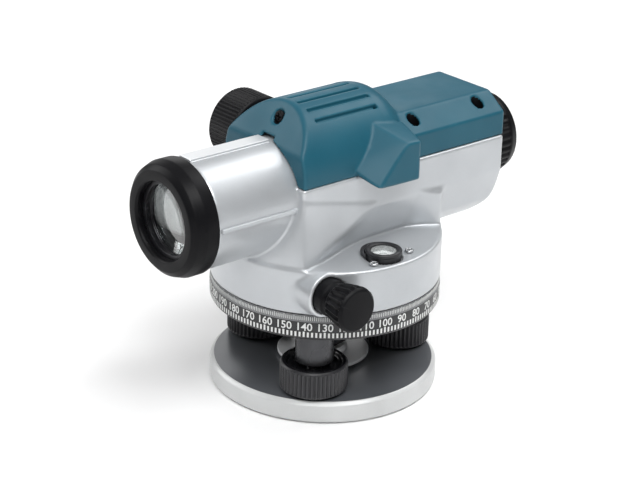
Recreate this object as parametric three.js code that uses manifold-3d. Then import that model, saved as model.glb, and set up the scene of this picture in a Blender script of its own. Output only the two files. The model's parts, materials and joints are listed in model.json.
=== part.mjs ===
// Automatic (optical) level: a telescope on a turning drum, over a three-screw levelling base.
// Millimetres, +Z up. The telescope looks along -X, its eyepiece is at +X, the focusing knob is
// at +Y and the circular vial at -Y. The group is centred on X and Y at the end of the file.
import * as THREE from 'three';
import { mergeVertices } from 'three/addons/utils/BufferGeometryUtils.js';
import Module from 'manifold-3d';

const wasm = await Module();
wasm.setup();

// ---------- driving dimensions ----------
const GAP = 0.3;                  // kept between pieces that touch on the real object
const OPTIC_Z = 108;              // height of the line of sight
const FRONT_X = -102;             // front of the objective ring
const REAR_X = 113;               // rear of the eyepiece ring
const PLATE_R = 58;
const PLATE_TOP = 11;
const TRIPOD_HOLE_R = 7.4;
const DRUM_R = 58;
const DRUM_BOTTOM = 58;
const DRUM_TOP = 80.5;
const WALL = 3;
const RING_R = 58.25;             // horizontal circle
const RING_BOTTOM = 45;

const SCREW_CIRCLE_R = 41.5;      // levelling screws
const SCREW_ANGLE = -136.5;       // degrees, first screw; the others follow at 120 degrees
const FOOT_R = 4.5;
const STEM_R = 3.6;
const KNOB_R = 17;
const KNOB_BOTTOM = 12.4;
const KNOB_TOP = 27;
const BOSS_R = 9.5;
const BOSS_BOTTOM = 26.8;

const SPINDLE_R = 8;
const WHEEL_TEETH = 60;
const WHEEL_PITCH_R = 32;
const WORM_PITCH_R = 5;
const DRIVE_X = -(WHEEL_PITCH_R + WORM_PITCH_R);
const DRIVE_Z = (DRUM_BOTTOM + DRUM_TOP) / 2;
const DRIVE_TIP_Y = 67.5;         // outer faces of the two drive knobs
const DRIVE_KNOB_R = 11.4;
const BUSH_R = 9.1;
const DRIVE_BOSS_R = 11.2;        // flat-faced boss of the drum round each bush
const DRIVE_BOSS_Y = 45.5;

const TUBE_R = 27.5;              // telescope tube
const TUBE_BORE_R = 24;
const BODY_FRONT = -41;           // U-shaped telescope body
const BODY_REAR = 91.5;
const BODY_HALF = 31;
const BELLY_R = 32.3;
const BELLY_Z = 102.6;
const CREASE_Z = 100;             // below it the body's sides lean in
const FLANK_LEAN = Math.tan(THREE.MathUtils.degToRad(17));
const STERN_R = 24;               // rounding under the body's rear end
const SIGHT_HIGH = 1.4;           // flat sighting strip, above the top of the tube
const SEAM_Z = 118.4;             // top edge of the metal body, under the cover

const COVER_BOTTOM = SEAM_Z + GAP;
const DOME_Z = 121.3;             // axis of the cover's barrel vault
const DOME_END = 16;
const COVER_WALL = 2.5;
const LEAN_Z = 134;               // above this height the cover's front leans back
const LEAN_SLOPE = 0.75;
const ROOF_Z = 139.6;
const ROOF_HALF = 18.5;
const EAVES_Z = 131;
const EAVES_HALF = 30;

const PINION_X = -16;             // focusing drive
const PINION_Z = 124;
const PINION_R = 4;
const PINION_TEETH = 10;
const FOCUS_KNOB_R = 18.5;
const FOCUS_KNOB_INNER = 33.2;
const FOCUS_KNOB_OUTER = 53;

const HOOD_Y = -43;               // outer face of the hood over the vial
const VIAL_X = -2.5;
const VIAL_Y = -45.8;
const VIAL_RING_R = 9.1;

const RIM = 64;                   // facets of the drum, the circle and the base plate
const ROUND = 40;                 // facets of a large round
const FINE = 20;                  // facets of a small round

// ---------- solids ----------
function toManifold(geometry) {
  const bare = geometry.index ? geometry.toNonIndexed() : geometry.clone();
  bare.deleteAttribute('normal');
  bare.deleteAttribute('uv');
  const merged = mergeVertices(bare, 1e-4);
  const source = merged.index.array;
  const kept = [];
  for (let i = 0; i < source.length; i += 3) {
    const [a, b, c] = [source[i], source[i + 1], source[i + 2]];
    if (a !== b && b !== c && c !== a) kept.push(a, b, c);
  }
  return new wasm.Manifold(new wasm.Mesh({
    numProp: 3,
    vertProperties: new Float32Array(merged.attributes.position.array),
    triVerts: new Uint32Array(kept),
  }));
}

function toGeometry(manifold) {
  const mesh = manifold.getMesh();
  const geometry = new THREE.BufferGeometry();
  geometry.setAttribute('position', new THREE.BufferAttribute(mesh.vertProperties, mesh.numProp));
  geometry.setIndex(new THREE.BufferAttribute(mesh.triVerts, 1));
  geometry.computeVertexNormals();
  return geometry;
}

// Turns a geometry that is built along +Z so that it runs along the named axis.
function alongAxis(geometry, axis) {
  if (axis === 'x') geometry.applyMatrix4(new THREE.Matrix4().set(0, 0, 1, 0, 1, 0, 0, 0, 0, 1, 0, 0, 0, 0, 0, 1));
  if (axis === 'y') geometry.applyMatrix4(new THREE.Matrix4().set(0, 1, 0, 0, 0, 0, 1, 0, 1, 0, 0, 0, 0, 0, 0, 1));
  return geometry;
}

// A solid of revolution: profile is a closed loop of [radius, height along the axis].
function turned(profile, axis = 'z', segments = ROUND) {
  const loop = [...profile, profile[0]].map(([r, h]) => new THREE.Vector2(r, h));
  if (THREE.ShapeUtils.area(loop) < 0) loop.reverse();
  const geometry = new THREE.LatheGeometry(loop, segments).rotateX(Math.PI / 2);
  return toManifold(alongAxis(geometry, axis));
}

function rod(radius, from, to, axis = 'z', segments = FINE) {
  return turned([[0, from], [radius, from], [radius, to], [0, to]], axis, segments);
}

function ring(inner, outer, from, to, axis = 'z', segments = ROUND) {
  return turned([[inner, from], [outer, from], [outer, to], [inner, to]], axis, segments);
}

function box(x, y, z) {
  const geometry = new THREE.BoxGeometry(x[1] - x[0], y[1] - y[0], z[1] - z[0]);
  geometry.translate((x[0] + x[1]) / 2, (y[0] + y[1]) / 2, (z[0] + z[1]) / 2);
  return toManifold(geometry);
}

// An outline of [a, b] points extruded along an axis. Along x the outline is in (y, z),
// along y it is in (z, x), and along z it is in (x, y).
function prism(points, from, to, axis = 'z') {
  const shape = new THREE.Shape(points.map(([a, b]) => new THREE.Vector2(a, b)));
  const geometry = new THREE.ExtrudeGeometry(shape, { depth: to - from, bevelEnabled: false });
  geometry.translate(0, 0, from);
  return toManifold(alongAxis(geometry, axis));
}

function hull(points) {
  return wasm.Manifold.hull(points);
}

function arc(cx, cy, radius, fromDegrees, toDegrees, steps) {
  return Array.from({ length: steps + 1 }, (_, i) => {
    const a = THREE.MathUtils.degToRad(fromDegrees + (toDegrees - fromDegrees) * i / steps);
    return [cx + radius * Math.cos(a), cy + radius * Math.sin(a)];
  });
}

// A star outline whose points alternate between two radii: the ribs of a grip.
function ribbed(outer, inner, ribs) {
  return Array.from({ length: 2 * ribs }, (_, i) => {
    const a = Math.PI * i / ribs;
    const r = i % 2 ? inner : outer;
    return [r * Math.cos(a), r * Math.sin(a)];
  });
}

// A toothed outline of flat-topped teeth, with a tooth centred on angle phase.
function toothed(teeth, root, tip, rootFill, tipFill, phase) {
  const pitch = 2 * Math.PI / teeth;
  const points = [];
  for (let i = 0; i < teeth; i++) {
    const middle = phase + i * pitch;
    for (const [r, side] of [[root, -rootFill], [tip, -tipFill], [tip, tipFill], [root, rootFill]]) {
      const a = middle + side * pitch / 2;
      points.push([r * Math.cos(a), r * Math.sin(a)]);
    }
  }
  return points;
}

// ---------- materials ----------
function paint(color, roughness, metalness) {
  return new THREE.MeshStandardMaterial({ color, roughness, metalness });
}

const silverPaint = paint(0xc6cacd, 0.45, 0.35);
const bluePlastic = paint(0x2c6f8f, 0.5, 0.0);
const blackPlastic = paint(0x1b1b1d, 0.55, 0.0);
const blackRubber = paint(0x161618, 0.7, 0.0);
const blackMetal = paint(0x2b2c2e, 0.45, 0.6);
const whitePaint = paint(0xd9dbdc, 0.45, 0.2);
const steel = paint(0xa8abae, 0.3, 1.0);
const brass = paint(0xb8964f, 0.35, 1.0);
const glass = paint(0xb9ccd0, 0.05, 0.0);
const mirror = paint(0xdfe5e8, 0.05, 1.0);

const level = new THREE.Group();

function part(name, solid, material, parent = level, place = [0, 0, 0]) {
  const mesh = new THREE.Mesh(toGeometry(solid), material);
  mesh.name = name;
  mesh.position.set(...place);
  parent.add(mesh);
  return mesh;
}

// ---------- levelling base ----------
const screwPlaces = [0, 1, 2].map((i) => {
  const a = THREE.MathUtils.degToRad(SCREW_ANGLE + 120 * i);
  return [SCREW_CIRCLE_R * Math.cos(a), SCREW_CIRCLE_R * Math.sin(a)];
});

function basePlate() {
  const bevel = 1.8;
  let plate = turned([
    [TRIPOD_HOLE_R, 0], [PLATE_R - 1, 0], [PLATE_R, 1],
    [PLATE_R, PLATE_TOP - bevel], [PLATE_R - bevel, PLATE_TOP], [TRIPOD_HOLE_R, PLATE_TOP],
  ], 'z', RIM);
  for (const [x, y] of screwPlaces) {
    plate = plate.subtract(rod(FOOT_R + 0.8, PLATE_TOP - 4, PLATE_TOP + 1).translate([x, y, 0]));
  }
  return plate;
}

function springPlate() {
  return turned([[9, 12], [23.5, 12], [23.5, 13.8], [12, 13.8], [12, 17.5], [9, 17.5]]);
}

// Steel screw with a ball foot, which stands in a seat of the base plate.
function levellingScrew() {
  const centre = PLATE_TOP - 4 + GAP + FOOT_R;
  const ball = arc(0, centre, FOOT_R, -90, 40, 5);
  return turned([...ball, [STEM_R, centre + 4], [STEM_R, 49.5], [2.6, 50.5], [0, 50.5]], 'z', 16);
}

// The grip of a levelling screw: a ribbed wheel with a dished top round its stem.
function levellingKnob() {
  const grip = prism(ribbed(KNOB_R, KNOB_R - 0.5, 24), KNOB_BOTTOM + 1, KNOB_TOP - 1.2);
  const skirt = rod(KNOB_R - 1.2, KNOB_BOTTOM, KNOB_TOP, 'z', 24);
  const dish = rod(13.2, KNOB_TOP - 3, KNOB_TOP + 1, 'z', 24);
  const neck = rod(STEM_R + GAP, 0, KNOB_TOP + 1, 'z', 16);
  const foot = rod(FOOT_R + 0.6, 0, PLATE_TOP - 4 + GAP + 2 * FOOT_R + 0.6, 'z', 16);
  return grip.add(skirt).subtract(dish).subtract(neck).subtract(foot);
}

function tribrach() {
  const top = RING_BOTTOM + 10.5;
  let body = turned([[0, 20], [13, 20], [16, 40], [50, RING_BOTTOM - 1], [50, top], [0, top]]);
  for (const [x, y] of screwPlaces) {
    const arm = box([0, SCREW_CIRCLE_R], [-6, 6], [34, RING_BOTTOM])
      .rotate([0, 0, THREE.MathUtils.radToDeg(Math.atan2(y, x))]);
    body = body.add(arm).add(rod(BOSS_R, BOSS_BOTTOM, RING_BOTTOM - 0.4).translate([x, y, 0]));
  }
  for (const [x, y] of screwPlaces) {
    body = body.subtract(rod(5.3, BOSS_BOTTOM - 1, 52.9, 'z', 16).translate([x, y, 0]));
  }
  return body.subtract(rod(SPINDLE_R + GAP, 28, top + 1));
}

function graduatedRing() {
  return turned([
    [50.4, 46], [55.5, RING_BOTTOM], [57.4, RING_BOTTOM], [RING_R, 46.2], [RING_R, 54.4],
    [57.7, DRUM_BOTTOM - GAP], [50.4, DRUM_BOTTOM - GAP],
  ], 'z', RIM);
}

function levellingBase() {
  part('base_plate', basePlate(), whitePaint);
  part('spring_plate', springPlate(), steel);
  screwPlaces.forEach(([x, y], i) => {
    part(`levelling_screw_${i + 1}`, levellingScrew(), steel, level, [x, y, 0]);
    part(`levelling_knob_${i + 1}`, levellingKnob(), blackPlastic, level, [x, y, 0]);
  });
  part('tribrach', tribrach(), blackMetal);
  part('graduated_ring', graduatedRing(), blackPlastic);
}

// ---------- vertical axis and horizontal drive ----------
function spindle() {
  return turned([
    [0, 28 + GAP], [SPINDLE_R, 28 + GAP], [SPINDLE_R, 55.8], [13, 55.8], [13, 58],
    [SPINDLE_R, 58], [SPINDLE_R, 83.6], [0, 83.6],
  ], 'z', FINE);
}

function wormWheel() {
  const tip = WHEEL_PITCH_R + 0.9;
  const root = WHEEL_PITCH_R - 1.2;
  const rim = prism(toothed(WHEEL_TEETH, root, tip, 0.52, 0.24, Math.PI / WHEEL_TEETH), DRIVE_Z - 2, DRIVE_Z + 2);
  const hub = rod(12, 60, 72.9);
  return rim.add(hub).subtract(rod(SPINDLE_R + 0.4, 59, 74));
}

// The drive shaft with its worm: the worm is a cylinder whose radius follows one helical thread.
function driveShaft() {
  const lead = 2 * Math.PI * WHEEL_PITCH_R / WHEEL_TEETH;
  const length = 4 * lead;
  const worm = new THREE.CylinderGeometry(1, 1, length, 12, 26);
  const p = worm.attributes.position;
  for (let i = 0; i < p.count; i++) {
    const [x, h, z] = [p.getX(i), p.getY(i), p.getZ(i)];
    if (Math.hypot(x, z) < 0.5) continue;
    const turn = Math.atan2(-z, x) / (2 * Math.PI) + h / lead;
    const offset = Math.abs(turn - Math.round(turn));
    const rise = THREE.MathUtils.clamp((0.31 - offset) / 0.16, 0, 1);
    const radius = WORM_PITCH_R - 1.2 + 2.1 * rise;
    p.setXYZ(i, x * radius, h, z * radius);
  }
  const shaft = rod(2.5, -DRIVE_TIP_Y + 5, DRIVE_TIP_Y - 5, 'y', 12);
  return shaft.add(toManifold(worm)).translate([DRIVE_X, 0, DRIVE_Z]);
}

// A flanged bush in the drum wall; side is +1 or -1 along Y.
function driveBush(side) {
  const outline = [[2.8, 27], [BUSH_R, 27], [BUSH_R, 50.6], [8.2, 51.2], [8.2, 53.6], [2.8, 53.6]];
  const outer = turned(outline, 'y', FINE);
  return outer.scale([1, side, 1]).translate([DRIVE_X, 0, DRIVE_Z]);
}

function driveKnob(side) {
  const grip = prism(ribbed(DRIVE_KNOB_R, DRIVE_KNOB_R - 0.9, 16), 54, DRIVE_TIP_Y - 1.4, 'y');
  const face = turned([
    [0, DRIVE_TIP_Y - 2], [10.3, DRIVE_TIP_Y - 2], [9.4, DRIVE_TIP_Y], [0, DRIVE_TIP_Y],
  ], 'y', FINE);
  const bore = rod(2.8, 53, DRIVE_TIP_Y - 4.7, 'y', 12);
  return grip.add(face).subtract(bore).scale([1, side, 1]).translate([DRIVE_X, 0, DRIVE_Z]);
}

function turningParts() {
  part('spindle', spindle(), steel);
  part('clutch_washer', ring(SPINDLE_R + 0.4, 14, 58.4, 59.6, 'z', FINE), steel);
  part('worm_wheel', wormWheel(), brass);
  part('bearing_bush', ring(SPINDLE_R + 0.35, 10, 73.4, 81.4, 'z', FINE), brass);
  part('spindle_nut', ring(SPINDLE_R + GAP, 11.5, 81.8, 83.6, 'z', 12), steel);
  part('drive_shaft', driveShaft(), steel);
  for (const [side, name] of [[-1, 'left'], [1, 'right']]) {
    part(`drive_bush_${name}`, driveBush(side), blackPlastic);
    part(`drive_knob_${name}`, driveKnob(side), blackPlastic);
  }
}

// ---------- metal body ----------
// The body between two places along X, up to a height: sides that lean in below a crease, a
// round belly and a rear end that is rounded underneath, all taken in by inset.
function bodyForm(inset, front, rear, top) {
  const half = BODY_HALF - inset;
  const radius = BELLY_R - inset;
  const keel = BELLY_Z - BELLY_R;
  const foot = half - (CREASE_Z - keel) * FLANK_LEAN;
  const side = THREE.MathUtils.radToDeg(Math.acos(half / radius));
  const belly = [[half, top], ...arc(0, BELLY_Z, radius, -side, side - 180, 16), [-half, top]].reverse();
  const flanks = [[-half, top], [-half, CREASE_Z], [-foot, keel], [foot, keel], [half, CREASE_Z], [half, top]];
  const round = arc(keel + STERN_R, BODY_REAR - STERN_R, STERN_R - inset, 180, 90, 8);
  const profile = [...round, [top, BODY_REAR - inset], [top, front], [keel + inset, front]];
  return prism(belly, front, rear, 'x')
    .intersect(prism(flanks, front, rear, 'x'))
    .intersect(prism(profile, -BODY_HALF, BODY_HALF, 'y'));
}

const coverScrews = [[35, -22.5], [79, -22.5], [35, 22.5], [79, 22.5]];

function bodyOutside() {
  const drum = turned([
    [0, DRUM_BOTTOM], [DRUM_R, DRUM_BOTTOM], [DRUM_R, DRUM_TOP - 1.2], [DRUM_R - 1.2, DRUM_TOP], [0, DRUM_TOP],
  ], 'z', RIM);
  const trough = bodyForm(0, BODY_FRONT, BODY_REAR, SEAM_Z);
  const tube = rod(TUBE_R, -88, -3, 'x', ROUND);
  const spigot = rod(TUBE_R - 0.9, -98, -87, 'x', ROUND);
  const cheek = (degrees, z) => arc(0, 0, DRUM_R, 180 - degrees, 180 + degrees, 10).map(([x, y]) => [x, y, z]);
  const frontWeb = hull([
    ...cheek(39.4, DRUM_TOP - 2), ...cheek(39.4, DRUM_TOP + 1.5),
    ...[1, -1].flatMap((s) => [[5, 21 * s, DRUM_TOP - 2], [BODY_FRONT, BODY_HALF * s, 112],
      [5, BODY_HALF * s, 101], [-46.5, 30.5 * s, 99]]),
  ]);
  const rearArc = (z) => arc(0, 0, DRUM_R, -34.8, 34.8, 10).map(([x, y]) => [x, y, z]);
  const rearWeb = hull([
    ...rearArc(DRUM_TOP - 2), ...rearArc(99),
    ...[1, -1].flatMap((s) => [[32, 22 * s, DRUM_TOP - 2], [36, 30.5 * s, 100]]),
  ]);
  const sightRib = box([-87.5, -30], [-4.2, 4.2], [OPTIC_Z + 20, OPTIC_Z + TUBE_R + SIGHT_HIGH]);
  const sideRib = box([-87.5, BODY_FRONT], [-TUBE_R - 0.7, TUBE_R + 0.7], [OPTIC_Z - 0.7, OPTIC_Z + 0.7]);
  const driveBosses = rod(DRIVE_BOSS_R, -DRIVE_BOSS_Y, DRIVE_BOSS_Y, 'y').translate([DRIVE_X, 0, DRIVE_Z]);
  return drum.add(trough).add(frontWeb).add(rearWeb)
    .add(tube.add(spigot).translate([0, 0, OPTIC_Z])).add(sightRib).add(sideRib).add(driveBosses);
}

function mainHousing() {
  const floor = DRUM_TOP + 0.5;
  const chamber = turned([
    [0, 50], [DRUM_R - WALL - 0.5, 50], [DRUM_R - WALL - 0.5, DRUM_TOP - WALL], [15, DRUM_TOP - WALL],
    [15, 73.4], [0, 73.4],
  ]);
  const inner = bodyForm(WALL, BODY_FRONT + WALL, BODY_REAR - WALL, SEAM_Z + 30);
  const aboveFloor = box([-60, 59], [-40, 40], [floor, 200]);
  const rearHollow = box([62, 120], [-40, 40], [0, 200]);
  const hollow = inner.intersect(aboveFloor.add(rearHollow).add(box([58, 63], [-40, 40], [floor, 200])));
  const tubeWall = ring(TUBE_BORE_R, TUBE_R, -88, -3, 'x').translate([0, 0, OPTIC_Z]);
  const lug = box([-24, -17], [-5, 5], [OPTIC_Z + 25.5, 148.5]);
  const bore = rod(TUBE_BORE_R, -99, -2, 'x', ROUND).translate([0, 0, OPTIC_Z]);
  let body = bodyOutside().subtract(hollow).add(tubeWall).add(lug);
  for (const [x, y] of coverScrews) {
    const post = rod(5.6, 96, SEAM_Z).translate([x, y, 0]);
    const web = box([x - 4, x + 4], y < 0 ? [-29, y] : [y, 29], [96, SEAM_Z]);
    body = body.add(post.add(web)).subtract(rod(1.9, 106, SEAM_Z + 1, 'z', 10).translate([x, y, 0]));
  }
  body = body.subtract(bore).subtract(chamber);
  body = body.subtract(rod(10.3, 70, 86)).subtract(rod(12.4, floor, 86));
  body = body.subtract(rod(9.5, 80, 100, 'x', FINE).translate([0, 0, OPTIC_Z]));
  body = body.subtract(rod(BUSH_R + GAP, -70, 70, 'y').translate([DRIVE_X, 0, DRIVE_Z])
    .subtract(box([-60, 0], [-26, 26], [0, 100])));
  body = body.subtract(rod(6, 0, 40, 'y').translate([PINION_X, 0, PINION_Z]));
  body = body.subtract(rod(1.9, -30, -18, 'x', 10).translate([0, 0, 145]));
  body = body.subtract(rod(VIAL_RING_R + 0.6, 78.8, 90, 'z', FINE).translate([VIAL_X, VIAL_Y, 0]));
  return body;
}

// ---------- blue cover ----------
function domeSection(radius, bottom) {
  return [[radius, bottom], ...arc(0, DOME_Z, radius, 0, 180, 24), [-radius, bottom]];
}

function roofSection(inset, bottom) {
  const [e, r] = [EAVES_HALF - inset, ROOF_HALF - inset * 0.7];
  const [ze, zr] = [EAVES_Z - inset * 0.4, ROOF_Z - inset];
  return [[e, bottom], [e, ze], [r, zr], [-r, zr], [-e, ze], [-e, bottom]];
}

// The vault, its rounded rear end and the roof behind it, all taken in by inset.
function coverForm(inset, bottom) {
  const radius = BODY_HALF - inset;
  const vault = prism(domeSection(radius, bottom), BODY_FRONT + 0.5 + inset, DOME_END, 'x');
  const ball = new THREE.SphereGeometry(radius, 32, 20).rotateX(Math.PI / 2).scale(0.66, 1, 1);
  const end = toManifold(ball).translate([DOME_END - 0.1, 0, DOME_Z]);
  const roof = prism(roofSection(inset, bottom), 0, BODY_REAR - inset, 'x');
  const front = BODY_FRONT + 0.5 + inset * 1.25;
  const lean = hull([-50, 50].flatMap((y) => [
    [-80, y, LEAN_Z], [front, y, LEAN_Z], [front + LEAN_SLOPE * 30, y, LEAN_Z + 30], [-80, y, LEAN_Z + 30],
  ]));
  return vault.add(end).add(roof).subtract(lean).intersect(box([-80, 120], [-60, 60], [bottom, 200]));
}

// Hood over the vial: its slanted front face carries the mirror; it is open below and behind.
const hoodFace = [[7, -24, 141], [-10, -30.5, 122], [-4, HOOD_Y, 114.5], [13, HOOD_Y, 134]]
  .map((p) => new THREE.Vector3(...p));
const hoodMiddle = hoodFace.reduce((sum, v) => sum.addScaledVector(v, 1 / hoodFace.length), new THREE.Vector3());
const hoodInward = new THREE.Plane().setFromCoplanarPoints(hoodFace[2], hoodFace[1], hoodFace[3]).normal;
if (hoodInward.x < 0) hoodInward.negate();

// The four corners of the slanted face, drawn towards its middle and moved into the hood.
function hoodCorners(shrink, depth) {
  return hoodFace.map((v) => v.clone().lerp(hoodMiddle, shrink).addScaledVector(hoodInward, depth).toArray());
}

function hood() {
  const outer = hull([...hoodCorners(0, 0),
    [22, HOOD_Y, 114], [22, HOOD_Y, 134], [26, -24, 138], [26, -29, 114], [-8, -29, 119]]);
  const skin = HOOD_Y + 2;
  const inner = hull([...hoodCorners(0.08, 2.2), [30, skin, 108], [30, skin, 131.5], [30, -24, 134.5],
    [30, -24, 108], [4, skin, 108], [-2, -24, 108]]);
  return [outer, inner.intersect(box([-20, 40], [-60, -EAVES_HALF - 0.2], [90, 150]))];
}

function topCover() {
  const [hoodOuter, hoodInner] = hood();
  const inside = coverForm(COVER_WALL, COVER_BOTTOM - 5);
  const above = box([-80, 120], [-60, 60], [COVER_BOTTOM, 200]);
  const hoodShell = hoodOuter.subtract(box([-20, 40], [-EAVES_HALF - 1.2, 0], [100, COVER_BOTTOM]));
  let cover = coverForm(0, COVER_BOTTOM).subtract(inside).add(hoodShell.subtract(inside)).subtract(hoodInner);
  for (const [x, y] of coverScrews) {
    const post = rod(5.4, COVER_BOTTOM, ROOF_Z - 1, 'z').translate([x, y, 0]).intersect(coverForm(0.5, COVER_BOTTOM));
    const sink = rod(3.3, 126, 160, 'z').add(rod(1.9, 110, 130, 'z', 10)).translate([x, y, 0]);
    cover = cover.add(post).subtract(sink);
  }
  const frontPost = rod(5.4, -35, -24.4, 'x').translate([0, 0, 145]).intersect(coverForm(0.5, COVER_BOTTOM));
  cover = cover.add(frontPost)
    .subtract(rod(3.3, -60, -29.4, 'x').translate([0, 0, 145]))
    .subtract(rod(1.9, -60, -20, 'x', 10).translate([0, 0, 145]));
  cover = cover.subtract(rod(TUBE_R + GAP, -60, -30, 'x', ROUND).translate([0, 0, OPTIC_Z]));
  cover = cover.subtract(box([-60, -25], [-4.6, 4.6], [OPTIC_Z, OPTIC_Z + TUBE_R + SIGHT_HIGH + GAP]));
  cover = cover.subtract(rod(6.4, 20, 40, 'y').translate([PINION_X, 0, PINION_Z]));
  for (let row = -2; row <= 2; row++) {
    const groove = box([-24, 14.5], [-1.1, 1.1], [BODY_HALF - 1.1, BODY_HALF + 2]);
    cover = cover.subtract(groove.rotate([8.5 - 14 * row, 0, 0]).translate([0, 0, DOME_Z]));
  }
  return cover.intersect(above.add(box([-20, 40], [-60, -EAVES_HALF], [100, 200])));
}

function vialMirror() {
  const plate = hull([...hoodCorners(0.14, 2.6), ...hoodCorners(0.14, 3.8)]);
  return plate.intersect(box([-40, 40], [-60, -BODY_HALF - 0.6], [90, 150]));
}

function coverScrew(axis) {
  const screw = turned([[0, -16], [1.5, -16], [1.5, GAP], [2.9, GAP], [2.9, 2.4], [0, 2.4]], axis, 12);
  return axis === 'x' ? screw.scale([-1, 1, 1]) : screw;
}

function body() {
  part('main_housing', mainHousing(), silverPaint);
  part('top_cover', topCover(), bluePlastic);
  part('vial_mirror', vialMirror(), mirror);
  coverScrews.forEach(([x, y], i) => part(`cover_screw_${i + 1}`, coverScrew('z'), steel, level, [x, y, 126]));
  part('cover_screw_front', coverScrew('x').intersect(box([-20, 11], [-5, 5], [-5, 5])), steel, level, [-29.4, 0, 145]);
}

// ---------- circular vial ----------
function vial() {
  const holder = turned([
    [6.6, 79.2], [8.6, 79.2], [8.6, 82.8], [VIAL_RING_R, 83.2], [VIAL_RING_R, 84.2], [8.4, 84.8],
    [6.6, 84.8],
  ], 'z', FINE);
  part('vial_ring', holder, blackPlastic, level, [VIAL_X, VIAL_Y, 0]);
  const crown = arc(0, 84.4 - 30, 30, 90, 78.5, 4).reverse();
  part('vial_glass', turned([[0, 79.4], [6.2, 79.4], [6.2, 83], ...crown.slice(0, 4), [0, 84.4]], 'z', FINE),
    glass, level, [VIAL_X, VIAL_Y, 0]);
  const screw = turned([[0, DRUM_TOP + GAP], [2.2, DRUM_TOP + GAP], [2.2, 81.6], [1.9, 82], [0, 82]], 'z', 16)
    .subtract(rod(0.9, 81.2, 83, 'z', 6));
  part('vial_screw_left', screw, steel, level, [VIAL_X - 10.6, VIAL_Y - 5, 0]);
  part('vial_screw_right', screw, steel, level, [VIAL_X + 13.8, VIAL_Y - 3.3, 0]);
}

// ---------- objective, focusing and eyepiece (all turned about the line of sight) ----------
function lens(radius, x, edge, frontBulge, rearBulge) {
  const face = (bulge) => [0, 0.5, 1].map((t) => [radius * t, bulge * (1 - t * t)]);
  const front = face(frontBulge).map(([r, h]) => [r, x - edge / 2 - h]);
  const rear = face(rearBulge).map(([r, h]) => [r, x + edge / 2 + h]).reverse();
  return turned([...front, ...rear], 'x', 24);
}

function objective(axis) {
  const outer = TUBE_R + 1.1;
  part('objective_ring', turned([
    [19, FRONT_X + 0.6], [19.6, FRONT_X], [24.6, FRONT_X], [27, FRONT_X + 2.2], [outer - 0.4, FRONT_X + 5.5],
    [outer, FRONT_X + 7], [outer, -88.3], [TUBE_R - 0.6, -88.3], [TUBE_R - 0.6, -98.3], [19, -98.3],
  ], 'x'), blackRubber, axis);
  part('objective_cell', turned([
    [17.2, -97.6], [TUBE_BORE_R - GAP, -97.6], [TUBE_BORE_R - GAP, -80], [18.7, -80], [18.7, -95.4], [17.2, -95.4],
  ], 'x'), blackMetal, axis);
  part('objective_lens', lens(18.3, -91.8, 2.4, 2.2, 1.2), glass, axis);
  part('objective_flint', lens(18.3, -87.4, 3.2, -1.0, 0.6), glass, axis);
  part('objective_retainer', ring(16.4, 18.4, -84.4, -80.8, 'x', FINE), blackMetal, axis);
}

function focusing(axis) {
  const drop = PINION_Z - OPTIC_Z;
  const pitch = 2 * Math.PI * PINION_R / PINION_TEETH;
  const spool = turned([
    [8.6, -34], [TUBE_BORE_R - GAP, -34], [TUBE_BORE_R - GAP, -31.5], [10.6, -31.5], [10.6, -0.5],
    [TUBE_BORE_R - GAP, -0.5], [TUBE_BORE_R - GAP, 2], [8.6, 2],
  ], 'x');
  const pitchLine = drop - PINION_R;
  const outline = [[-30, 8], [-30, pitchLine - 1.1]];
  for (let tooth = -5; tooth <= 5; tooth++) {
    const middle = PINION_X + (tooth + 0.5) * pitch;
    if (middle < -29 || middle > -3) continue;
    outline.push([middle - 0.26 * pitch, pitchLine - 1.1], [middle - 0.1 * pitch, pitchLine + 0.7],
      [middle + 0.1 * pitch, pitchLine + 0.7], [middle + 0.26 * pitch, pitchLine - 1.1]);
  }
  outline.push([-2, pitchLine - 1.1], [-2, 8]);
  const rack = prism(outline.map(([x, z]) => [z, x]).reverse(), -3, 3, 'y');
  part('focusing_carriage', spool.add(rack.subtract(rod(9.6, -40, 10, 'x', ROUND))), blackMetal, axis);
  part('focusing_lens', lens(8.3, -31.6, 2.6, -0.8, -0.8), glass, axis);

  const teeth = prism(toothed(PINION_TEETH, PINION_R - 1, PINION_R + 0.7, 0.5, 0.2, Math.PI), -3.4, 3.4, 'y');
  const shaft = rod(2.6, -3.4, FOCUS_KNOB_OUTER - 4, 'y', 16);
  part('focus_pinion', teeth.add(shaft), brass, axis, [PINION_X, 0, drop]);
  part('focus_bush', ring(3, 5.7, 24.6, 32.6, 'y', FINE), brass, axis, [PINION_X, 0, drop]);
  const grip = prism(ribbed(FOCUS_KNOB_R, FOCUS_KNOB_R - 0.5, 30), FOCUS_KNOB_INNER + 1, FOCUS_KNOB_OUTER - 1.2, 'y');
  const ends = turned([
    [0, FOCUS_KNOB_INNER], [17.4, FOCUS_KNOB_INNER], [17.9, FOCUS_KNOB_INNER + 1.2],
    [17.9, FOCUS_KNOB_OUTER - 1.4], [16.8, FOCUS_KNOB_OUTER], [0, FOCUS_KNOB_OUTER],
  ], 'y');
  part('focusing_knob', grip.add(ends).subtract(rod(2.9, 20, FOCUS_KNOB_OUTER - 3.7, 'y', 16)),
    blackRubber, axis, [PINION_X, 0, drop]);
}

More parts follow.
